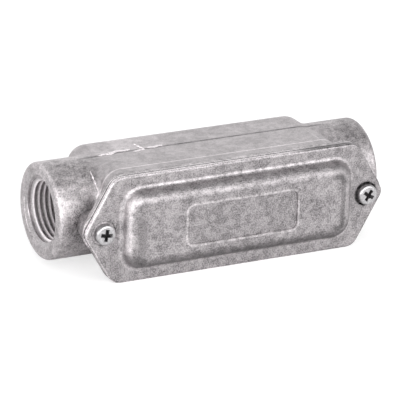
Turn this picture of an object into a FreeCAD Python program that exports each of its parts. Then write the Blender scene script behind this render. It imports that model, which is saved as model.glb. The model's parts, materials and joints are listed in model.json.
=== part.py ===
"""Straight-through die-cast conduit body, half-inch trade size, with its gasketed cover and screws.

The run of conduit lies along X and the cover faces -Y. Every sub-part is drawn about the run axis
and then carried to its place, so that the whole stands on Z = 0, centred on X and Y.
"""
import FreeCAD, Part
import os
import Sketcher

SIZES = {
    # run and hubs
    "half_run": 55.9,
    "thread_radius": 10.6,
    "thread_depth": 15.0,
    "mouth_chamfer": 1.1,
    "hub_wall": 4.8,
    "hub_rounding": 1.3,
    "throat_step": 2.8,
    "throat_rounding": 1.0,
    # trough
    "side_step": 0.3,
    "back_step": 0.4,
    "hub_reach": 12.0,
    "nose_depth": 3.9,
    "trough_rounding": 6.2,
    "back_rounding": 5.8,
    "wall": 2.6,
    "chamber_rounding": 3.4,
    "floor_rounding": 2.0,
    "hub_root": 2.4,
    # mouth flange of the trough, and the outline that the gasket and cover share
    "flange_reach": 23.2,
    "flange_thickness": 2.0,
    "flange_ledge": 1.6,
    "flange_root": 0.8,
    "corner_setback": 13.7,
    "tip_margin": 6.4,
    "tip_rounding": 3.2,
    "flange_rounding": 5.6,
    # screw bosses
    "screw_setback": 10.1,
    "boss_radius": 6.2,
    "boss_depth": 9.5,
    "boss_draft": 12.0,
    "tapped_depth": 10.5,
    # gasket and cover
    "gasket_thickness": 0.5,
    "cover_thickness": 1.4,
    "cover_rounding": 4.6,
    "cover_edge": 0.7,
    "dome_setback": 2.6,
    "dome_ledge": 4.5,
    "dome_rounding": 6.2,
    "dome_height": 4.3,
    "dome_draft": 16.0,
    "dome_edge": 4.1,
    "dome_foot": 1.4,
    "dome_wall": 1.5,
    "label_setback": 20.6,
    "label_ledge": 6.5,
    "label_rounding": 2.0,
    "label_depth": 0.35,
    "spotface_radius": 3.9,
    "spotface_depth": 0.3,
    # screws
    "shank_radius": 1.75,
    "shank_length": 10.4,
    "shank_point": 0.5,
    "head_radius": 3.35,
    "head_height": 2.4,
    "head_crown": 0.9,
    "recess_span": 1.9,
    "recess_width": 0.45,
    "recess_depth": 1.4,
    "tapped_clearance": 0.05,
    "pass_clearance": 0.35,
    "left_turn": 9.0,
    "right_turn": 33.0,
}

# Sizes that follow from the thread and the run, so that the pieces keep together.
SUMS = {
    "hub_radius": "thread_radius + hub_wall",
    "throat_radius": "thread_radius - throat_step",
    "trough_half_height": "hub_radius + side_step",
    "back_depth": "hub_radius + back_step",
    "trough_nose": "half_run - hub_reach",
    "trough_corner": "trough_nose - nose_depth",
    "outline_half_height": "trough_half_height + flange_ledge",
    "outline_corner": "half_run - corner_setback",
    "screw_centre": "half_run - screw_setback",
    "outline_tip": "screw_centre + tip_margin",
    "dome_half_length": "outline_corner - dome_setback",
    "dome_half_height": "outline_half_height - dome_ledge",
    "label_half_length": "dome_half_length - label_setback",
    "label_half_height": "dome_half_height - label_ledge",
}

doc = FreeCAD.newDocument("conduit_body")
sheet = doc.addObject("Spreadsheet::Sheet", "Sizes")
for row, (alias, value) in enumerate(SIZES.items(), start=1):
    sheet.set(f"A{row}", alias.replace("_", " "))
    sheet.set(f"B{row}", str(value))
    sheet.setAlias(f"B{row}", alias)
doc.recompute()


def number(formula):
    """The value, in millimetres or degrees, of a sum of sizes such as 'half_run - thread_depth'."""
    total, sign = 0.0, 1.0
    for word in formula.split():
        if word in "+-":
            sign = 1.0 if word == "+" else -1.0
        else:
            total += sign * (number(SUMS[word]) if word in SUMS else SIZES[word])
    return total


def bound(formula):
    """The same sum as an expression that FreeCAD keeps tied to the sheet."""
    words = []
    for word in formula.split():
        if word in SUMS:
            word = f"({bound(SUMS[word])})"
        elif word not in "+-":
            word = f"Sizes.{word}"
        words.append(word)
    return " ".join(words)


def new_body(label):
    """An empty body, carried from the run axis to where the part stands."""
    body = doc.addObject("PartDesign::Body", label)
    body.Label = label
    front = bound("flange_reach + gasket_thickness + cover_thickness + dome_height - back_depth")
    body.setExpression("Placement.Base.y", f"({front}) / 2")
    body.setExpression("Placement.Base.z", bound("outline_half_height"))
    return body


def new_sketch(body, name, role, offset=""):
    """A sketch on one of the body's own origin planes, moved along its normal by a sum of sizes."""
    plane = next(item for item in body.Origin.OriginFeatures if item.Role == role)
    sketch = body.newObject("Sketcher::SketchObject", name)
    sketch.AttachmentSupport = (plane, [""])
    sketch.MapMode = "FlatFace"
    if offset:
        sketch.setExpression("AttachmentOffset.Base.z", bound(offset))
    return sketch


def pin(sketch, line, end, axis, sign, formula):
    """Holds one end of a line at a signed distance from the sketch's origin; no formula means zero."""
    if not formula:
        sketch.addConstraint(Sketcher.Constraint("PointOnObject", line, end, -1 if axis == "Y" else -2))
        return
    distance = Sketcher.Constraint("Distance" + axis, -1, 1, line, end, sign * number(formula))
    index = sketch.addConstraint(distance)
    text = bound(formula) if sign > 0 else f"-({bound(formula)})"
    sketch.setExpression(f"Constraints[{index}]", text)


def draw_polygon(sketch, corners):
    """A closed polygon: each corner is (sign, formula, sign, formula) for its two coordinates."""
    points = [
        FreeCAD.Vector(sx * number(x or ""), sy * number(y or ""), 0) for sx, x, sy, y in corners
    ]
    first = sketch.GeometryCount
    count = len(points)
    for i in range(count):
        sketch.addGeometry(Part.LineSegment(points[i], points[(i + 1) % count]))
    for i in range(count):
        here, after = first + i, first + (i + 1) % count
        sketch.addConstraint(Sketcher.Constraint("Coincident", here, 2, after, 1))
    for i, (sx, x, sy, y) in enumerate(corners):
        pin(sketch, first + i, 1, "X", sx, x)
        pin(sketch, first + i, 1, "Y", sy, y)


def draw_symmetric(sketch, nose, corner_x, corner_y):
    """A rectangle about the origin, or a hexagon when a nose size is given, from one quadrant."""
    corners = [(1, corner_x, 1, corner_y), (-1, corner_x, 1, corner_y)]
    if nose:
        corners.append((-1, nose, 1, ""))
    corners += [(-1, corner_x, -1, corner_y), (1, corner_x, -1, corner_y)]
    if nose:
        corners.append((1, nose, 1, ""))
    draw_polygon(sketch, corners)


def draw_circle(sketch, sign, centre_x, radius):
    """A circle on the sketch's X axis."""
    centre = FreeCAD.Vector(sign * number(centre_x), 0, 0)
    circle = sketch.addGeometry(Part.Circle(centre, FreeCAD.Vector(0, 0, 1), number(radius)))
    index = sketch.addConstraint(Sketcher.Constraint("Radius", circle, number(radius)))
    sketch.setExpression(f"Constraints[{index}]", bound(radius))
    pin(sketch, circle, 3, "X", sign, centre_x)
    pin(sketch, circle, 3, "Y", 1, "")


def add_pad(body, name, profile, length, taper="", backward=False, middle=False):
    """Material added along the profile's normal; a taper narrows it away from the profile."""
    pad = body.newObject("PartDesign::Pad", name)
    pad.Profile = profile
    pad.setExpression("Length", bound(length) if not middle else f"2 * ({bound(length)})")
    if taper:
        pad.setExpression("TaperAngle", f"-Sizes.{taper}")
    pad.Reversed = backward
    pad.Midplane = middle
    doc.recompute()
    return pad


def add_pocket(body, name, profile, depth, taper="", forward=False):
    """Material removed against the profile's normal; a taper narrows the pocket towards its floor."""
    before = body.Shape.Volume
    pocket = body.newObject("PartDesign::Pocket", name)
    pocket.Profile = profile
    pocket.setExpression("Length", bound(depth))
    if taper:
        pocket.setExpression("TaperAngle", f"-Sizes.{taper}")
    pocket.Reversed = forward
    doc.recompute()
    if body.Shape.Volume >= before:
        raise RuntimeError(f"{name} removed nothing")
    return pocket


def add_fillet(body, name, radius, chosen):
    """A constant radius along the edges of the body's last feature that the test picks."""
    base = body.Tip
    names = [f"Edge{i}" for i, edge in enumerate(base.Shape.Edges, start=1) if chosen(edge)]
    if not names:
        raise RuntimeError(f"{name} found no edge")
    fillet = body.newObject("PartDesign::Fillet", name)
    fillet.Base = (base, names)
    fillet.setExpression("Radius", bound(radius))
    doc.recompute()
    return fillet


def is_near(value, target):
    return abs(value - target) < 1e-3


def lies_at_y(edge, level):
    """True for an edge that lies wholly in the plane Y = level."""
    box = edge.BoundBox
    return is_near(box.YMin, level) and is_near(box.YMax, level)


def runs_along_y(edge, x_formula, z_formula):
    """True for an edge that runs front to back at the given distances from the middle planes."""
    box = edge.BoundBox
    return (
        box.YLength > 0.1
        and is_near(box.XLength, 0)
        and is_near(box.ZLength, 0)
        and is_near(abs(box.Center.x), number(x_formula))
        and is_near(abs(box.Center.z), number(z_formula))
    )


def is_trough_corner(edge):
    """True for the four long edges between the trough's sides and its ends."""
    box = edge.BoundBox
    full_depth = is_near(box.YLength, number("flange_reach + back_depth"))
    return full_depth and abs(box.Center.z) > number("trough_half_height") / 2


def meets_hub(edge):
    """True for an edge of the last solid that lies on the hubs' round surface, short of their ends."""
    if edge.BoundBox.XMin < 0 < edge.BoundBox.XMax:
        return False
    if max(abs(edge.BoundBox.XMin), abs(edge.BoundBox.XMax)) > number("trough_nose") + 0.1:
        return False
    span = edge.LastParameter - edge.FirstParameter
    points = [edge.valueAt(edge.FirstParameter + span * part) for part in (0.1, 0.5, 0.9)]
    return all(abs((p.y**2 + p.z**2) ** 0.5 - number("hub_radius")) < 1e-3 for p in points)


def make_casting():
    """The one-piece casting: trough, two hubs with threaded bores, mouth flange and screw bosses."""
    body = new_body("conduit_body")

    # The trough: a block with blunt pointed ends, rounded at its corners and round its back.
    plan = new_sketch(body, "trough_plan", "XZ_Plane", "flange_reach")
    draw_symmetric(plan, "trough_nose", "trough_corner", "trough_half_height")
    add_pad(body, "trough", plan, "flange_reach + back_depth", backward=True)
    add_fillet(body, "trough_corners", "trough_rounding", is_trough_corner)
    add_fillet(
        body, "back_edges", "back_rounding", lambda edge: lies_at_y(edge, number("back_depth"))
    )

    # The hubs: one round bar through the trough, rounded at its two ends.
    hub = new_sketch(body, "hub_section", "YZ_Plane")
    draw_circle(hub, 1, "", "hub_radius")
    add_pad(body, "hubs", hub, "half_run", middle=True)
    add_fillet(
        body,
        "hub_ends",
        "hub_rounding",
        lambda edge: is_near(edge.BoundBox.XLength, 0)
        and is_near(abs(edge.BoundBox.XMin), number("half_run")),
    )

    add_fillet(body, "hub_roots", "hub_root", meets_hub)

    # The mouth flange, flush with the front of the trough and wider than it.
    rim = new_sketch(body, "flange_outline", "XZ_Plane", "flange_reach")
    draw_symmetric(rim, "outline_tip", "outline_corner", "outline_half_height")
    add_pad(body, "flange", rim, "flange_thickness", backward=True)
    add_fillet(
        body,
        "flange_corners",
        "flange_rounding",
        lambda edge: runs_along_y(edge, "outline_corner", "outline_half_height"),
    )
    add_fillet(
        body, "flange_tips", "tip_rounding", lambda edge: runs_along_y(edge, "outline_tip", "")
    )

    under = number("flange_thickness") - number("flange_reach")
    add_fillet(
        body,
        "flange_roots",
        "flange_root",
        lambda edge: lies_at_y(edge, under)
        and max(abs(edge.BoundBox.ZMin), abs(edge.BoundBox.ZMax)) < number("trough_half_height") + 0.1
        and max(abs(edge.BoundBox.XMin), abs(edge.BoundBox.XMax)) < number("trough_nose") + 0.1,
    )

    # Drafted bosses that carry the flange's tips on the hubs.
    bosses = new_sketch(body, "boss_circles", "XZ_Plane", "flange_reach")
    draw_circle(bosses, 1, "screw_centre", "boss_radius")
    draw_circle(bosses, -1, "screw_centre", "boss_radius")
    add_pad(body, "bosses", bosses, "boss_depth", taper="boss_draft", backward=True)

    # The wiring chamber, open at the mouth.
    chamber = new_sketch(body, "chamber_plan", "XZ_Plane", "flange_reach")
    draw_symmetric(chamber, "", "trough_corner - wall", "trough_half_height - wall")
    add_pocket(body, "chamber", chamber, "flange_reach + back_depth - wall")
    depth = number("flange_reach + back_depth - wall")
    add_fillet(
        body,
        "chamber_corners",
        "chamber_rounding",
        lambda edge: is_near(edge.BoundBox.YLength, depth)
        and abs(edge.BoundBox.Center.z) < number("trough_half_height"),
    )
    floor = number("back_depth - wall")
    add_fillet(body, "chamber_floor", "floor_rounding", lambda edge: lies_at_y(edge, floor))

    # The bores: chamfered mouth, thread length, then the throat that keeps the conduit out.
    bore = new_sketch(body, "bore_profile", "XZ_Plane")
    draw_polygon(
        bore,
        [
            (1, "", 1, ""),
            (1, "half_run", 1, ""),
            (1, "half_run", 1, "thread_radius + mouth_chamfer"),
            (1, "half_run - mouth_chamfer", 1, "thread_radius"),
            (1, "half_run - thread_depth", 1, "thread_radius"),
            (1, "half_run - thread_depth", 1, "throat_radius"),
            (1, "", 1, "throat_radius"),
        ],
    )
    groove = body.newObject("PartDesign::Groove", "right_bore")
    groove.Profile = bore
    groove.ReferenceAxis = (bore, ["H_Axis"])
    groove.Angle = 360
    doc.recompute()
    mirror = body.newObject("PartDesign::Mirrored", "left_bore")
    mirror.Originals = [groove]
    mirror.MirrorPlane = (
        next(item for item in body.Origin.OriginFeatures if item.Role == "YZ_Plane"), [""]
    )
    body.Tip = mirror
    doc.recompute()

    # The throats' edges are rounded, so that they don't cut into wires.
    add_fillet(
        body,
        "throat_edges",
        "throat_rounding",
        lambda edge: is_near(edge.BoundBox.XLength, 0)
        and is_near(edge.BoundBox.ZLength, number("throat_radius + throat_radius")),
    )

    # The tapped holes of the cover screws.
    taps = new_sketch(body, "tapped_holes", "XZ_Plane", "flange_reach")
    draw_circle(taps, 1, "screw_centre", "shank_radius + tapped_clearance")
    draw_circle(taps, -1, "screw_centre", "shank_radius + tapped_clearance")
    add_pocket(body, "taps", taps, "tapped_depth")
    return body


def make_gasket():
    """A flat sheet with the cover's outline, open over the chamber."""
    body = new_body("gasket")
    sheet_outline = new_sketch(body, "gasket_outline", "XZ_Plane", "flange_reach")
    draw_symmetric(sheet_outline, "outline_tip", "outline_corner", "outline_half_height")
    add_pad(body, "gasket_sheet", sheet_outline, "gasket_thickness")
    add_fillet(
        body,
        "gasket_corners",
        "flange_rounding",
        lambda edge: runs_along_y(edge, "outline_corner", "outline_half_height"),
    )
    add_fillet(
        body, "gasket_tips", "tip_rounding", lambda edge: runs_along_y(edge, "outline_tip", "")
    )
    openings = new_sketch(body, "gasket_openings", "XZ_Plane", "flange_reach + gasket_thickness")
    draw_symmetric(openings, "", "trough_corner - wall", "trough_half_height - wall")
    draw_circle(openings, 1, "screw_centre", "shank_radius + pass_clearance")
    draw_circle(openings, -1, "screw_centre", "shank_radius + pass_clearance")
    add_pocket(body, "gasket_cut", openings, "gasket_thickness")
    return body


def make_cover():
    """The cast cover: a plate with pointed ends, a raised dome, a label recess and spotfaces."""
    body = new_body("cover")
    back = "flange_reach + gasket_thickness"
    front = back + " + cover_thickness"

    plate = new_sketch(body, "plate_outline", "XZ_Plane", back)
    draw_symmetric(plate, "outline_tip", "outline_corner", "outline_half_height")
    add_pad(body, "plate", plate, "cover_thickness")
    add_fillet(
        body,
        "plate_corners",
        "cover_rounding",
        lambda edge: runs_along_y(edge, "outline_corner", "outline_half_height"),
    )
    add_fillet(
        body, "plate_tips", "tip_rounding", lambda edge: runs_along_y(edge, "outline_tip", "")
    )
    add_fillet(body, "plate_edge", "cover_edge", lambda edge: lies_at_y(edge, -number(front)))

    # The dome: a drafted pad whose upright corners, crown and foot are rounded in turn.
    dome = new_sketch(body, "dome_plan", "XZ_Plane", front)
    draw_symmetric(dome, "", "dome_half_length", "dome_half_height")
    add_pad(body, "dome", dome, "dome_height", taper="dome_draft")
    crown = -number(front + " + dome_height")
    add_fillet(
        body,
        "dome_corners",
        "dome_rounding",
        lambda edge: is_near(edge.BoundBox.YLength, number("dome_height"))
        and is_near(edge.BoundBox.YMin, crown),
    )
    add_fillet(body, "dome_crown", "dome_edge", lambda edge: lies_at_y(edge, crown))

    def is_foot(edge):
        box = edge.BoundBox
        inside = max(abs(box.ZMin), abs(box.ZMax)) < number("dome_half_height") + 1e-3
        return lies_at_y(edge, -number(front)) and inside and box.XMax < number("dome_half_length") + 1e-3

    add_fillet(body, "dome_foot", "dome_foot", is_foot)

    # The underside is hollow, with the dome's wall left all round.
    hollow = new_sketch(body, "hollow_plan", "XZ_Plane", back)
    draw_symmetric(
        hollow, "", "dome_half_length - dome_wall", "dome_half_height - dome_wall"
    )
    add_pocket(
        body,
        "hollow",
        hollow,
        "dome_height + cover_thickness - dome_wall",
        taper="dome_draft",
        forward=True,
    )

    # A shallow recess for a label, left bare.
    label = new_sketch(body, "label_plan", "XZ_Plane", front + " + dome_height")
    draw_symmetric(label, "", "label_half_length", "label_half_height")
    add_pocket(body, "label_recess", label, "label_depth")
    add_fillet(
        body,
        "label_corners",
        "label_rounding",
        lambda edge: runs_along_y(edge, "label_half_length", "label_half_height"),
    )

    # Screw holes with shallow spotfaces.
    seats = new_sketch(body, "spotface_circles", "XZ_Plane", front)
    draw_circle(seats, 1, "screw_centre", "spotface_radius")
    draw_circle(seats, -1, "screw_centre", "spotface_radius")
    add_pocket(body, "spotfaces", seats, "spotface_depth")
    holes = new_sketch(body, "screw_holes", "XZ_Plane", front)
    draw_circle(holes, 1, "screw_centre", "shank_radius + pass_clearance")
    draw_circle(holes, -1, "screw_centre", "shank_radius + pass_clearance")
    add_pocket(body, "screw_passes", holes, "cover_thickness")
    return body


def make_screw(label, sign, turn):
    """A pan head screw with a crossed recess, its head seated on the spotface."""
    body = new_body(label)
    body.setExpression("Placement.Base.x", f"{sign} * ({bound('screw_centre')})")
    body.Placement.Rotation = FreeCAD.Rotation(FreeCAD.Vector(0, 1, 0), number(turn))
    seat = "flange_reach + gasket_thickness + cover_thickness - spotface_depth"

    # Half section, X outwards and Y forwards, turned about the screw's own axis.
    half = new_sketch(body, "half_section", "XY_Plane")
    draw_polygon(
        half,
        [
            (1, "", -1, seat + " - shank_length"),
            (1, "shank_radius - shank_point", -1, seat + " - shank_length"),
            (1, "shank_radius", -1, seat + " - shank_length + shank_point"),
            (1, "shank_radius", -1, seat),
            (1, "head_radius", -1, seat),
            (1, "head_radius", -1, seat + " + head_height"),
            (1, "", -1, seat + " + head_height"),
        ],
    )
    turned = body.newObject("PartDesign::Revolution", "turned_form")
    turned.Profile = half
    turned.ReferenceAxis = (half, ["V_Axis"])
    turned.Angle = 360
    doc.recompute()
    crown = -number(seat + " + head_height")
    add_fillet(
        body,
        "head_edge",
        "head_crown",
        lambda edge: lies_at_y(edge, crown),
    )
    for name, span, width in (
        ("slot_across", "recess_span", "recess_width"),
        ("slot_along", "recess_width", "recess_span"),
    ):
        slot = new_sketch(body, name, "XZ_Plane", seat + " + head_height")
        draw_symmetric(slot, "", span, width)
        add_pocket(body, name + "_cut", slot, "recess_depth")
    return body


parts = [
    make_casting(),
    make_gasket(),
    make_cover(),
    make_screw("cover_screw_left", -1, "left_turn"),
    make_screw("cover_screw_right", 1, "right_turn"),
]
doc.recompute()

for item in doc.Objects:
    if "Invalid" in item.State or "Error" in item.State:
        raise RuntimeError(f"{item.Label} failed: {item.State}")
for part in parts:
    if part.Shape.isNull() or not part.Shape.isValid():
        raise RuntimeError(f"{part.Label} has no valid shape")

os.makedirs("parts", exist_ok=True)
for part in parts:
    part.Shape.exportStep(f"parts/{part.Label}.step")
    print(part.Label, len(part.Shape.Solids), "solid", round(part.Shape.Volume), "mm3")
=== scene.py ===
# %% [markdown]
# # A die-cast conduit body
#
# A conduit body is a small aluminium box that joins two runs of steel pipe and gives the
# electrician a place to pull the wires. This one goes straight through: a threaded hub at each
# end, a long trough between them, and a cover held by two screws over a thin gasket.
#
# The solid parts come ready-made from the CAD model. This lesson gives them their look: the
# dull, tumbled skin of the castings, the cut threads in the hubs, the seam that the two halves of
# the die leave behind, the rubber gasket and the plated screws. Everything is in metres, and the
# object stands on the floor at Z = 0 with the run of pipe along X.

# %% Load the frame
import json
import math

import bpy
import numpy as np
from mathutils import Matrix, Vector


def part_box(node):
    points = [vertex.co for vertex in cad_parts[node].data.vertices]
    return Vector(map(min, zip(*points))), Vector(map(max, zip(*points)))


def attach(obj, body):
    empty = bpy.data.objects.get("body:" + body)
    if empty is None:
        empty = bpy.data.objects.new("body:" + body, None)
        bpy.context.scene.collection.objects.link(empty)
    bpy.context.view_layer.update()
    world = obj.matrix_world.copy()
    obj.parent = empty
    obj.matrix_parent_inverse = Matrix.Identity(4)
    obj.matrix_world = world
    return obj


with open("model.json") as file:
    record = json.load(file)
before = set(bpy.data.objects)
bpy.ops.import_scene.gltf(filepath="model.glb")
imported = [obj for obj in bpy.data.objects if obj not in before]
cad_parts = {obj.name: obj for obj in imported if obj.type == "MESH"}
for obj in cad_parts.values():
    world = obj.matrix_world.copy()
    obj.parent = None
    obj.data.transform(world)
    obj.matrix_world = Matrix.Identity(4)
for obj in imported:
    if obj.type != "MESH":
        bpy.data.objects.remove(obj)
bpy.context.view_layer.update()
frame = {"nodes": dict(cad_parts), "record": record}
MM = 0.001
print("nodes:", ", ".join(sorted(frame["nodes"])))

# %% [markdown]
# ## Where things are
#
# Every place is worked out from the frame. The axis of the pipe run comes from the left hub's
# mount, and the planes of the cover, the gasket and the screws come from the boxes of their
# nodes. The finishes below count in millimetres from the middle of that axis, with x along the
# run, y from front to back and z upwards. The few other sizes are the real object's own.

# %% Sizes and places
left_mount = frame["record"]["mounts"][0]
_, axis_y, axis_z = left_mount["pos_m"]
bore_radius = left_mount["dims"]["r_mm"]
mouth = abs(left_mount["pos_m"][0]) / MM
thread_length = left_mount["dims"]["length_mm"]


def on_axis(corner):
    """A corner of a node's box in millimetres from the middle of the pipe's axis."""
    return (np.array(corner) - [0.0, axis_y, axis_z]) / MM


cover_low, cover_high = map(on_axis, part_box("cover"))
screw_low, screw_high = map(on_axis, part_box("cover_screw_left"))
flange_face = on_axis(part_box("gasket")[1])[1]
half_run = on_axis(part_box("conduit_body")[1])[0]
dome_face = cover_low[1]
cover_thickness = 1.4
cover_front = cover_high[1] - cover_thickness
screw_centre = abs(screw_low[0] + screw_high[0]) / 2
hub_radius = 15.4
wall_top = 15.7
wall_end = 42.1
print(f"run axis at y {axis_y / MM:.2f}, z {axis_z / MM:.2f} mm, half run {half_run:.1f} mm")
print(f"cover front {cover_front:.2f}, dome face {dome_face:.2f}, screws at {screw_centre:.2f} mm")

# %% [markdown]
# ## The camera
#
# The object is seen from the front left, a little from above, through a long lens. A long lens
# far away keeps the parallel edges nearly parallel, as in a catalogue picture. The camera's
# axes are written out as vectors: `back` points from the object to the camera, and `side` is
# tilted by under two degrees, because the camera was not held quite level.

# %% Camera
azimuth, elevation, tilt = (math.radians(a) for a in (27.64, 20.36, 1.72))
back = np.array(
    [
        -math.sin(azimuth) * math.cos(elevation),
        -math.cos(azimuth) * math.cos(elevation),
        math.sin(elevation),
    ]
)
level = np.array([math.cos(azimuth), -math.sin(azimuth), 0.0])
upright = np.cross(back, level)
side = level * math.cos(tilt) + upright * math.sin(tilt)
up = np.cross(back, side)

camera_distance = 1.0889
target = np.array([0.0, 0.0, -0.277]) * hub_radius * MM + [0.0, axis_y, axis_z]
turn = np.eye(4)
turn[:3, 0], turn[:3, 1], turn[:3, 2] = side, up, back
turn[:3, 3] = target + back * camera_distance

lens = bpy.data.cameras.new("camera")
lens.lens = 309.5
lens.clip_end = 20.0
camera = bpy.data.objects.new("camera", lens)
camera.matrix_world = Matrix(turn)
bpy.context.scene.collection.objects.link(camera)
bpy.context.scene.camera = camera
print("camera", np.round(turn[:3, 3], 3))

# %% [markdown]
# ## Shader maths
#
# A material is a tree of nodes, and a long formula in it soon becomes a tangle of Math nodes.
# The small class below holds one output socket and overloads Python's operators, so that
# `1 - mask` or `0.5 + grain * 2` writes its own Math nodes. Everything that is not plain
# arithmetic goes through its one method `node`.


# %% A socket that can stand in a sum
class Wire:
    """An output socket of a material's tree; an expression on wires adds its Math nodes."""

    def __init__(self, tree, socket=None):
        self.tree = tree
        self.socket = socket

    def node(self, kind, settings=None, inputs=None, output=0):
        """Adds a node: its settings first, then values or links for its sockets."""
        made = self.tree.nodes.new(kind)
        for name, value in (settings or {}).items():
            setattr(made, name, value)
        for key, value in (inputs or {}).items():
            if isinstance(value, Wire):
                self.tree.links.new(value.socket, made.inputs[key])
            else:
                made.inputs[key].default_value = value
        return Wire(self.tree, made.outputs[output])

    def maths(self, operation, *values):
        return self.node("ShaderNodeMath", {"operation": operation}, dict(enumerate(values)))

    def __add__(self, other):
        return self.maths("ADD", self, other)

    def __sub__(self, other):
        return self.maths("SUBTRACT", self, other)

    def __rsub__(self, other):
        return self.maths("SUBTRACT", other, self)

    def __mul__(self, other):
        return self.maths("MULTIPLY", self, other)

    def __abs__(self):
        return self.maths("ABSOLUTE", self)

    __radd__ = __add__


# %% [markdown]
# ## Floor and light
#
# Metal shows what is round it, so the room matters more than the lamps. This one is a small
# product studio: a pale floor, a light wall behind the object, a darker ceiling, one long softbox
# in front and above, and a small one on the left. To the camera the floor glows and so comes out
# white. To every other ray it is pale paint without the glow, which would light up the undersides
# and flatten the shapes: a Light Path node tells the two apart.

# %% Floor
half_floor = 6.0
corners = np.array([[-1, -1, 0], [1, -1, 0], [1, 1, 0], [-1, 1, 0]]) * half_floor
sheet = bpy.data.meshes.new("floor")
sheet.from_pydata(corners.tolist(), [], [(0, 1, 2, 3)])
floor = bpy.data.objects.new("floor", sheet)
bpy.context.scene.collection.objects.link(floor)

pale = bpy.data.materials.new("pale_floor")
pale.use_nodes = True
board = Wire(pale.node_tree)
seen = board.node("ShaderNodeLightPath", output="Is Camera Ray")
paint = pale.node_tree.nodes["Principled BSDF"]
paint.inputs["Roughness"].default_value = 0.9
pale.node_tree.links.new((0.82 - seen * 0.37).socket, paint.inputs["Base Color"])
paint.inputs["Emission Color"].default_value = (1, 1, 1, 1)
pale.node_tree.links.new((seen * 0.65).socket, paint.inputs["Emission Strength"])
sheet.materials.append(pale)
print("floor of", 2 * half_floor, "m")

# %% Room
room = bpy.data.worlds.new("studio_room")
room.use_nodes = True
air = Wire(room.node_tree)
ray = air.node("ShaderNodeTexCoord", output="Generated")
behind = air.node("ShaderNodeSeparateXYZ", {}, {0: ray}, output=1)
overhead = air.node("ShaderNodeSeparateXYZ", {}, {0: ray}, output=2)
far_wall = air.node("ShaderNodeMapRange", {}, {"Value": behind, "From Min": 0.0, "From Max": 0.8})
ceiling = air.node("ShaderNodeMapRange", {}, {"Value": overhead, "From Min": 0.5, "From Max": 0.9})
glow = 0.95 + far_wall * 0.25 - ceiling * 0.55
camera_ray = air.node("ShaderNodeLightPath", output="Is Camera Ray")
strength = glow + (1.0 - glow) * camera_ray
room.node_tree.links.new(strength.socket, room.node_tree.nodes["Background"].inputs["Strength"])
room.node_tree.nodes["Background"].inputs["Color"].default_value = (1.0, 1.0, 1.0, 1)
bpy.context.scene.world = room


# %% Lamps
def add_softbox(name, place, width, height, watts):
    """A rectangular lamp at a place in metres, turned to face the middle of the object."""
    lamp = bpy.data.lights.new(name, "AREA")
    lamp.shape = "RECTANGLE"
    lamp.size, lamp.size_y, lamp.energy = width, height, watts
    away = np.array(place) - target
    away = away / np.linalg.norm(away)
    across = np.cross([0.0, 0.0, 1.0], away)
    across = across / np.linalg.norm(across)
    aim = np.eye(4)
    aim[:3, 0], aim[:3, 1], aim[:3, 2] = across, np.cross(away, across), away
    aim[:3, 3] = place
    box = bpy.data.objects.new(name, lamp)
    box.matrix_world = Matrix(aim)
    bpy.context.scene.collection.objects.link(box)
    return box


lamps = [
    add_softbox("long_key", (0.1, -0.85, 0.45), 1.3, 0.6, 7.0),
    add_softbox("left_fill", (-0.75, -0.45, 0.22), 0.45, 0.4, 3.6),
]
bpy.context.scene.view_settings.view_transform = "Standard"
print("lamps:", [lamp.name for lamp in lamps])

# %% [markdown]
# A few helpers are enough for all the finishes. `places` gives the point being shaded in
# millimetres from the pipe's axis, `noise` is a cloudy pattern with a feature size in
# millimetres, `rise` goes smoothly from 0 to 1 between two values, and `line` is 1 along a
# narrow band. `mottle` stretches the noise to run from -1 to 1 with clear lights and darks,
# because plain noise hardly leaves its middle value.


# %% Helpers of the finishes
def new_finish(name):
    """A material with its principled shader and a first wire into its tree."""
    material = bpy.data.materials.new(name)
    material.use_nodes = True
    tree = material.node_tree
    return material, tree.nodes["Principled BSDF"], Wire(tree)


def places(wire):
    """The shaded point in millimetres from the middle of the run: the vector, then x, y and z."""
    metres = wire.node("ShaderNodeTexCoord", output="Object")
    moved = wire.node(
        "ShaderNodeVectorMath",
        {"operation": "SUBTRACT"},
        {0: metres, 1: (0.0, axis_y, axis_z)},
    )
    point = wire.node(
        "ShaderNodeVectorMath", {"operation": "SCALE"}, {0: moved, "Scale": 1 / MM}
    )
    split = [wire.node("ShaderNodeSeparateXYZ", {}, {0: point}, output=i) for i in range(3)]
    return point, *split


def noise(point, size, detail=2.0, rough=0.5):
    """Cloudy noise from 0 to 1 whose blots are about `size` millimetres across."""
    return point.node(
        "ShaderNodeTexNoise",
        {"noise_dimensions": "3D"},
        {"Vector": point, "Scale": 1 / size, "Detail": detail, "Roughness": rough},
    )


def rise(value, low, high):
    """0 below `low`, 1 above `high`, and a smooth step between; low may be the larger."""
    return value.node(
        "ShaderNodeMapRange",
        {"interpolation_type": "SMOOTHSTEP"},
        {"Value": value, "From Min": low, "From Max": high},
    )


def line(value, centre, half_width):
    """1 where the value is at the centre, falling smoothly to 0 at the half width."""
    return 1 - rise(abs(value - centre), half_width * 0.3, half_width)


def mottle(point, size, detail=2.0, rough=0.6):
    """Noise stretched to run from -1 to 1."""
    return rise(noise(point, size, detail, rough), 0.36, 0.64) * 2 - 1


def distance(first, second):
    """The length of the vector with these two components."""
    return first.maths("SQRT", first * first + second * second)


def outside_box(x, z, half_length, half_height, rounding):
    """Millimetres outside a rounded rectangle in the plane of the cover; inside is negative.

    Both components are folded into one corner. Past the straight sides the distance is that to
    the corner's centre less its rounding; within them it is that to the nearer side.
    """
    over_x = abs(x) - (half_length - rounding)
    over_z = abs(z) - (half_height - rounding)
    corner = distance(x.maths("MAXIMUM", over_x, 0.0), x.maths("MAXIMUM", over_z, 0.0))
    within = x.maths("MINIMUM", x.maths("MAXIMUM", over_x, over_z), 0.0)
    return corner + within - rounding


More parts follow.
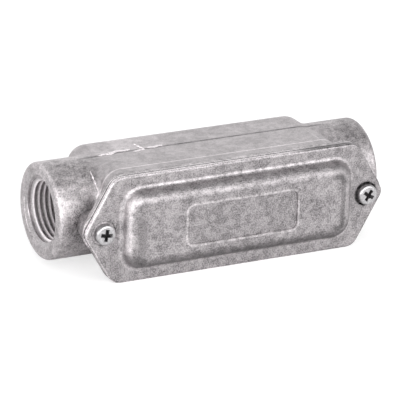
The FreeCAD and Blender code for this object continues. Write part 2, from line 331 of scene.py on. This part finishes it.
def between(share, first, second):
    """The first colour where share is 0 and the second where it is 1."""
    return share.node(
        "ShaderNodeMix", {"data_type": "RGBA"}, {0: share, 6: first, 7: second}, output=2
    )


def alloy(light):
    """The colour of the aluminium at a brightness: grey with a faint rose cast."""
    return light.node(
        "ShaderNodeCombineColor", {}, {0: light, 1: light * 0.945, 2: light * 0.966}
    )


def link(shader, **wires):
    """Joins wires to the shader's sockets; an underscore in a name stands for a space."""
    for name, wire in wires.items():
        wire.tree.links.new(wire.socket, shader.inputs[name.replace("_", " ")])


# %% [markdown]
# ## The cast skin
#
# Die-cast aluminium comes out of the die smooth, and is then tumbled with stones to take off the
# burrs. That leaves a dull, finely peened skin: light where the stones reached, darker and
# blotchy where they did not. It could be one noise texture, but a single scale looks like
# plastic. Here three scales are laid over each other: a grain of about half a millimetre, blots
# of two and clouds of six, with a few dark pits among them. An ambient occlusion node, which
# measures how much of the sky a point sees, paints shade into the hollows, so it works for any
# shape.


# %% Cast aluminium
def cast_skin(wire, point, grain_share, blot_share, hollow_shade_share):
    """Brightness, about 1, and bumps of a tumbled casting; the shares set how blotchy it is,
    and how much painted shade darkens a hollow."""
    grain = mottle(point, 0.44, 2.0, 0.65)
    blots = mottle(point, 1.9, 3.0, 0.6)
    clouds = mottle(point, 6.5, 2.0, 0.5)
    pits = rise(noise(point, 0.85, 2.0, 0.6), 0.6, 0.72)
    # Painted shade: ambient occlusion darkens the colour in the hollows.
    open_sky = wire.node(
        "ShaderNodeAmbientOcclusion",
        {"samples": 8, "only_local": True},
        {"Distance": 6 * MM},
        output="AO",
    )
    hollow = 1 - rise(open_sky, 0.2, 1.0)
    shade = 1 + grain * grain_share + (blots + clouds * 0.7) * blot_share
    shade = shade - pits * (grain_share * 0.7) - hollow * hollow_shade_share
    bumps = wire.node(
        "ShaderNodeBump",
        {},
        {"Height": grain * 0.4 + blots * 0.6, "Distance": 0.05 * MM, "Strength": 0.6},
    )
    return shade, bumps, grain, blots, clouds


# %% [markdown]
# The body's long walls lay flat against the die and stayed smooth, while the hubs are blotchy. A
# thin dark line runs along the middle of the top: there the two halves of the die met. Inside the
# hubs the metal was cut after casting, so its shade is even. The rim of the flange carries a
# painted highlight, bright on the left and dark on the right. A painted highlight lies where the
# screws' bosses end, and as nothing bounds it, it runs on round the whole trough. Painted light
# and shade go on elsewhere too: a highlight along the front right corner of the long walls and on
# the outer rings at the hubs' mouths, shade along the fillet behind the flange, a shadow on the
# hubs next to the tips of the flange, and a darker right hub.


# %% The body's finish
def finish_casting():
    material, shader, wire = new_finish("tumbled_cast_aluminium")
    point, x, y, z = places(wire)
    out = distance(y, z)
    run = abs(x)
    wall = rise(out, 15.1, 15.6) * rise(run, wall_end + 0.5, wall_end - 0.5)
    wall = wall * rise(y, flange_face + 2.0, flange_face + 3.0)
    rough_share = 1 - wall * 0.45
    shade, bumps, grain, blots, clouds = cast_skin(
        wire, point, rough_share * 0.28, rough_share * 0.17, 0.38
    )

    wander = (noise(point, 5.0) - 0.5) * 0.5
    outer = rise(out, hub_radius - 1.0, hub_radius - 0.3)
    seam = line(y + wander, 0.0, 0.85) * outer * (0.7 + blots * 0.3)
    seam = seam * rise(run, 46.0, 38.0)
    # Painted shade along the fillet behind the flange.
    ledge_shade = line(y, flange_face + 2.4, 1.0) * outer
    rubbed = rise(x, -11.4, -12.4) * rise(x, -41.0, -30.0) * rise(y, -0.2, 0.3)
    rubbed = rubbed * (0.7 + clouds * 0.3)
    # Painted highlight along the front right corner of the long walls.
    corner = line(x, 35.3, 0.45) * rise(y, -1.0, -3.0) * wall
    # Painted highlight along the rim of the flange, bright on the left and dark on the right.
    rim_highlight = line(y, flange_face, 0.55) * (0.8 + grain * 0.2)
    # Painted highlight where the screws' bosses end; it runs round the whole trough.
    boss_highlight = line(y, flange_face + 9.5, 0.5) * rise(distance(run - screw_centre, z), 4.6, 5.2)
    boss_highlight = boss_highlight * rise(out, hub_radius + 0.1, hub_radius + 0.5)
    # Painted highlight on the outer ring at each hub's mouth.
    mouth_edge_highlight = rise(run, half_run - 1.2, half_run - 0.5) * rise(out, 13.2, 14.4)
    # Painted shadow on the hubs next to the tips of the flange.
    tip_shadow = rise(distance(run - 47.0, z + 1.0), 9.5, 4.0) * rise(y, -6.0, -11.0)
    lit_rim = rim_highlight * (0.9 - rise(x, 12.0, 32.0) * 1.2)
    shade = shade - ledge_shade * 0.2 - seam * 0.75 + rubbed * wall * 0.2 + corner * 0.16 + lit_rim
    shade = shade + mouth_edge_highlight * 0.12 + boss_highlight * 0.5 - tip_shadow * (0.16 + clouds * 0.12)
    # Painted shade: the right end and its hub are made darker.
    shade = shade * (1 - rise(x, 43.0, 50.0) * 0.16)

    bore = rise(out, bore_radius + 0.35, bore_radius + 0.1)
    light = shade * 0.49 * (1 - bore) + (0.5 + blots * 0.12) * bore
    link(shader, Base_Color=alloy(light), Roughness=0.5 + grain * 0.07, Normal=bumps)
    shader.inputs["Metallic"].default_value = 1.0
    return material


# %% [markdown]
# The cover is cast from the same alloy but is tumbled longer, so it is darker and more speckled.
# Its dome is described by one number, the distance from the rounded rectangle of its foot. With
# that number a few narrow bands can be laid round the dome: a painted highlight along the foot,
# painted shade streaked along the upper slope, and a darker crown above them, also painted shade.
# More bands give a painted highlight on the left slope and at the right end, and painted shade on
# the lower slope, on a band at the left and at the right end. Two spots give a painted highlight
# at the top left corner and painted shade at the top right corner. A second rectangle gives a
# painted highlight where a thin raised rim would catch the light round the plain panel in the
# middle. The plate's front edge carries a painted highlight, bright at the left and dark at the
# right; its mask also takes in the walls of the screws' spotfaces, which it darkens at the right
# end. A painted shadow rings each screw head.


# %% The cover's finish
def finish_cover():
    material, shader, wire = new_finish("tumbled_cover_aluminium")
    point, x, y, z = places(wire)
    foot = outside_box(x, z, 39.6, 12.8, 6.2)
    flange = rise(foot, 0.5, 2.0)
    shade, bumps, grain, blots, clouds = cast_skin(
        wire, point, 0.29 + flange * 0.03, 0.16, 0.12
    )

    # Painted light and shade round the dome: highlights along the foot, on the left slope, at the
    # right end and at the top left corner; shade on the low and high slopes, on the crown, on a
    # band at the left, at the right end and at the top right corner.
    foot_highlight = line(foot, 0.75, 0.6) * (0.8 + blots * 0.2)
    low_slope_shade = rise(foot, 0.3, -0.6) * rise(foot, -5.0, -1.4) * rise(z, -5.0, -9.0)
    high_slope_shade = line(foot, -1.5, 1.3) * rise(z, 7.0, 10.0) * (0.6 + clouds * 0.4)
    crown_shade = line(foot, -3.6, 1.5) * rise(z, 5.0, 8.5)
    left_slope_highlight = line(foot, -1.0, 1.3) * rise(x, -34.0, -37.0)
    left_band_shade = line(x, -34.9, 2.6) * rise(abs(z + 3.0), 9.5, 5.5) * (0.8 + blots * 0.2)
    right_end_shade = line(foot, -4.3, 1.2) * rise(x, 30.0, 33.5)
    right_end_highlight = line(foot, -2.2, 1.6) * rise(x, 32.0, 35.5)
    right_corner_shade = rise(distance(x - 34.5, z - 10.5), 4.2, 1.5) * (0.7 + grain * 0.3)
    corner_knob_highlight = rise(distance(x + 36.3, z - 10.8), 2.2, 1.0)
    shade = shade + foot_highlight * 0.34 + left_slope_highlight * 0.55 + right_end_highlight * 0.22 + corner_knob_highlight * 0.35
    shade = shade * (1 - low_slope_shade * 0.5) * (1 - high_slope_shade * 0.16) * (1 - crown_shade * 0.2)
    shade = shade * (1 - left_band_shade * 0.36) * (1 - right_end_shade * 0.36) * (1 - right_corner_shade * 0.22)

    panel = outside_box(x, z, 19.0, 6.3, 2.0)
    on_face = rise(y, dome_face + 0.9, dome_face + 0.5)
    # Painted highlight where a raised rim round the panel would catch the light.
    panel_rim_highlight = line(panel, 0.45, 0.5) * on_face * (0.75 + blots * 0.25)
    rubbed_panel = rise(panel, 0.0, -0.6) * on_face
    shade = shade + panel_rim_highlight * 0.6 - rubbed_panel * (0.07 + clouds * 0.05)

    # Painted highlight along the plate's front edge, bright at the left and dark at the right.
    edge_highlight = rise(y, cover_front + 0.05, cover_front + 0.3) * (0.8 + grain * 0.2)
    lit_end = 1.2 - rise(x, 12.0, 32.0) * 1.7
    # Painted shadow in a ring round each screw head.
    screw_shadow_ring = line(distance(abs(x) - screw_centre, z), 3.6, 0.75)
    shade = shade + edge_highlight * lit_end - screw_shadow_ring * 0.5

    light = shade * 0.38
    link(shader, Base_Color=alloy(light), Roughness=0.48 + grain * 0.07, Normal=bumps)
    shader.inputs["Metallic"].default_value = 1.0
    return material


# %% [markdown]
# ## Rubber, plating and cut metal
#
# The gasket is a dull black sheet. The screws are zinc plated, with a slight crown, painted shade
# on the side of the head and a cross recess painted near black as shade; the painted cross is a
# little broader than the recess, which is why the cross looks broad. The threads are the brightest
# metal of all on their crests, where a highlight is painted, with painted shade down their flanks.


# %% Gasket
def finish_gasket():
    """Dull black rubber, a little greyer where it has been handled."""
    material, shader, wire = new_finish("gasket_rubber")
    point = places(wire)[0]
    colour = between(noise(point, 1.5, 3.0), (0.02, 0.019, 0.02, 1), (0.06, 0.057, 0.058, 1))
    link(shader, Base_Color=colour)
    shader.inputs["Roughness"].default_value = 0.8
    return material


# %% Screws
def finish_screw(name, centre, turn):
    """Zinc plate, with a cross painted near black as shade in its recess, turned by `turn`
    degrees about the screw's axis.

    u and v are the distances along the two arms of the cross. An arm is where one of them is
    under half the arm's width and the other under its length.
    """
    material, shader, wire = new_finish(name)
    point, x, _, z = places(wire)
    angle = math.radians(turn)
    cosine, sine = math.cos(angle), math.sin(angle)
    half_width, arm = 0.62, 1.95
    ragged = (noise(point, 0.5) - 0.5) * 0.6
    u = abs((x - centre) * cosine - z * sine) + ragged
    v = abs((x - centre) * sine + z * cosine) + ragged
    # Painted shade: the cross recess is painted near black, a little broader than the recess.
    first = rise(v, half_width + 0.12, half_width - 0.12) * rise(u, arm + 0.15, arm - 0.15)
    second = rise(u, half_width + 0.12, half_width - 0.12) * rise(v, arm + 0.15, arm - 0.15)
    recess_shade = x.maths("MAXIMUM", first, second)
    # Painted shade on the side of the head.
    side = rise(distance(x - centre, z), 2.7, 3.3)
    plate = 0.58 + mottle(point, 0.8) * 0.08 - side * 0.22
    clean = plate.node("ShaderNodeCombineColor", {}, {0: plate, 1: plate * 0.98, 2: plate})
    colour = between(recess_shade, clean, (0.012, 0.01, 0.011, 1))
    link(shader, Base_Color=colour, Metallic=1 - recess_shade, Roughness=0.34 + recess_shade * 0.4)
    return material


# %% Threads
def finish_threads():
    """Cut aluminium: a painted highlight on the crests and painted shade down the flanks, with fine
    tool lines.
    """
    material, shader, wire = new_finish("cut_aluminium")
    point, _, y, z = places(wire)
    # Painted highlight on the crests, painted shade towards the flanks.
    crest = rise(distance(y, z), bore_radius - 0.3, bore_radius - 1.1)
    light = 0.4 + crest * 0.5 + mottle(point, 0.6) * 0.08
    link(shader, Base_Color=alloy(light), Roughness=0.34 - crest * 0.06)
    shader.inputs["Metallic"].default_value = 0.6
    return material


# %% Dress the nodes
cast_metal = finish_casting()
cut_metal = finish_threads()
dress = {
    "conduit_body": cast_metal,
    "cover": finish_cover(),
    "gasket": finish_gasket(),
    "cover_screw_left": finish_screw("left_screw_zinc", -screw_centre, 9.0),
    "cover_screw_right": finish_screw("right_screw_zinc", screw_centre, 33.0),
}
for node, material in dress.items():
    for slot in frame["nodes"][node].material_slots:
        slot.material = material
    print(node, "wears", material.name)

# %% [markdown]
# ## A piece from numpy arrays
#
# A new piece is a grid of points worked out in one go: its columns go round a section and close
# on themselves, its rows go along a path, and flat caps close the two ends. The signed volume of
# the closed mesh tells whether its faces point outwards; if it is negative they are all turned.


# %% Grid to mesh
def grid_faces(rows, columns):
    """Quads of a tube whose columns close on themselves, and its two end caps."""
    row, column = np.meshgrid(np.arange(rows - 1), np.arange(columns), indexing="ij")
    start = row * columns
    after = (column + 1) % columns
    quads = np.stack(
        [start + column, start + after, start + columns + after, start + columns + column], -1
    )
    ends = [tuple(range(columns))[::-1], tuple(range((rows - 1) * columns, rows * columns))]
    return quads.reshape(-1, 4), ends


def make_tube(name, points, material, body):
    """A closed piece from points[row, column, xyz] in millimetres from the pipe's axis."""
    rows, columns, _ = points.shape
    flat = points.reshape(-1, 3) * MM + [0.0, axis_y, axis_z]
    quads, ends = grid_faces(rows, columns)
    a, b, c, d = (flat[quads[:, i]] - flat.mean(0) for i in range(4))
    volume = np.einsum("ij,ij->", a, np.cross(b, c)) + np.einsum("ij,ij->", a, np.cross(c, d))
    faces = [*quads.tolist(), *ends]
    if volume < 0:
        faces = [face[::-1] for face in faces]
    mesh = bpy.data.meshes.new(name)
    mesh.from_pydata(flat.tolist(), [], faces)
    mesh.materials.append(material)
    piece = bpy.data.objects.new(name, mesh)
    bpy.context.scene.collection.objects.link(piece)
    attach(piece, body)
    print(name, len(faces), "faces, volume", round(abs(volume) / 6 / MM**3, 3), "mm3")
    return piece


# %% [markdown]
# ## The pipe threads
#
# Each hub has a pipe thread with 14 turns to the inch. A thread is one profile, a blunt triangle
# of 60 degrees, carried along a helix. It could be a pattern of bumps in the material, but then
# the grooves would not catch the light at the mouth, where they are seen best. The chamfer of
# the mouth cuts into the first turn, so there only a low ridge is left on the chamfer's cone.
# Its foot is buried a little in the wall of the bore, so no gap can show under it.


# %% Threads
def thread_ridge(name, side, pitch=25.4 / 14, height=1.2, sunk=0.06):
    """The ridge of one hub: side is -1 on the left and 1 on the right.

    A point at angle t along the helix is (side (mouth - d), -r cos t, r sin t) about the axis,
    where d = pitch t / 2 pi + a - 1.3, but at least -1, and (a, r) runs round the ridge's
    section: r is the bore's radius at the foot and less by the height at the crest. The height
    fades at both ends, and the crest stands no more than 0.4 mm inside the chamfer's cone.
    """
    start_angle, lead_out, on_chamfer = 1.7, 1.3, 0.4
    half_crest = 0.09
    turns = thread_length / pitch
    t = np.linspace(start_angle, 2 * np.pi * turns, int(turns * 90))[:, None]
    fade = np.clip(np.minimum(t - t[0], (t[-1] - t) / np.pi), 0, 1)
    half_foot = (height + sunk) * math.tan(math.radians(30)) + half_crest
    across = np.array([-half_foot, -half_crest, half_crest, half_foot])[None, :]
    tall = np.array([0.0, 1.0, 1.0, 0.0])[None, :]
    depth = np.maximum(pitch * t / (2 * np.pi) + across - lead_out, -1.0)
    ridge = bore_radius + sunk - (height + sunk) * fade
    wall = bore_radius + np.clip(-depth, 0, None) + sunk
    crest = np.maximum(ridge, bore_radius - depth - on_chamfer * fade)
    radius = np.where(tall > 0, np.minimum(crest, wall), wall)
    points = np.stack([side * (mouth - depth), -radius * np.cos(t), radius * np.sin(t)], -1)
    return make_tube(name, points, cut_metal, "casting")


for name, hub_side in (("left_hub_thread", -1), ("right_hub_thread", 1)):
    thread_ridge(name, hub_side)

# %% [markdown]
# ## Flash on the seam
#
# Where the die did not quite close, a little metal squeezed out and froze as a thin ragged
# feather. It was broken off in the tumbler, which leaves bright slivers along the left third of
# the seam, one across it, and one on the corner between hub and trough. Each sliver is a bead
# carried along a short path, half buried in the wall, with a width and a height that wander and
# shrink almost to nothing at both ends. The wandering comes from a few waves with seeded phases,
# so it is the same every time.


# %% Slivers
def sliver(name, path, normal, width, height, seed):
    """A ragged bead along path[row, xyz], standing up along normal[row, xyz].

    At share s of the path the section is the ellipse (width w cos a / 2, height w sin a), where
    w is the square root of 4 s (1 - s), times a factor, plus 0.02 to keep the ends closed
    shapes. The factor is 1 plus three waves of random phase, kept from 0.35 to 1.7.
    """
    rows = len(path)
    s = np.linspace(0.0, 1.0, rows)
    chance = np.random.default_rng(seed)
    waves = sum(
        np.sin(2 * np.pi * (k * s + chance.random())) / k for k in chance.integers(3, 14, 3)
    )
    swell = np.sqrt(np.clip(4 * s * (1 - s), 0, 1)) * (1 + 1.2 * waves).clip(0.35, 1.7) + 0.02
    along = np.gradient(path, axis=0)
    along = along / np.linalg.norm(along, axis=1)[:, None]
    beside = np.cross(along, normal)
    angle = np.linspace(0, 2 * np.pi, 8, endpoint=False)[None, :, None]
    swell = swell[:, None, None]
    points = (
        path[:, None, :]
        + beside[:, None, :] * width / 2 * np.cos(angle) * swell
        + normal[:, None, :] * height * np.sin(angle) * swell
    )
    return make_tube(name, points, broken_metal, "casting")


def finish_broken():
    """Metal where the flash broke off: lighter and rougher than the skin, with a fine grain."""
    material, shader, wire = new_finish("broken_flash")
    point = places(wire)[0]
    light = 0.86 + mottle(point, 0.5) * 0.12
    link(shader, Base_Color=alloy(light), Roughness=0.4 + mottle(point, 0.4) * 0.06)
    shader.inputs["Metallic"].default_value = 0.5
    return material


broken_metal = finish_broken()


def on_wall(start, end, wander, seed, rows=60):
    """A path on the top wall from one (x, y) to another that wanders sideways by up to `wander`."""
    s = np.linspace(0.0, 1.0, rows)
    phase = np.random.default_rng(seed).random(2)
    bend = wander * np.sin(2 * np.pi * (1.5 * s + phase[0])) * np.sin(np.pi * s)
    flat = np.array(start)[None, :] * (1 - s[:, None]) + np.array(end)[None, :] * s[:, None]
    path = np.stack([flat[:, 0], flat[:, 1] + bend, 0 * s + wall_top], -1)
    return path, np.tile([0.0, 0.0, 1.0], (rows, 1))


seam_slivers = [
    ((-36.5, -0.2), (-30.6, -0.2), 0.95, 0.22, 0.30),
    ((-32.8, 0.7), (-24.4, 1.2), 1.20, 0.24, 0.35),
    ((-24.6, -0.9), (-20.2, -0.5), 0.80, 0.18, 0.25),
    ((-19.0, 0.5), (-13.3, 1.0), 1.10, 0.22, 0.30),
    ((-21.3, 5.6), (-20.3, -0.8), 0.70, 0.24, 0.15),
]
for number, (start, end, width, height, wander) in enumerate(seam_slivers):
    path, normal = on_wall(start, end, wander, number)
    sliver(f"seam_flash_{number + 1}", path, normal, width, height, number + 10)

# %% Corner sliver
share = np.linspace(0.0, 1.0, 50)[:, None]
crease_x = -42.2
angle = np.radians(27.0 + 31.0 * share)
normal = np.hstack([0 * angle, -np.sin(angle), np.cos(angle)])
lift = 0.8 * np.clip(share * 1.5 - 0.5, 0, None) ** 1.5
path = normal * (hub_radius + lift) + [crease_x, 0.0, 0.0]
sliver("corner_flash", path, normal, 0.5, 0.2, 30)
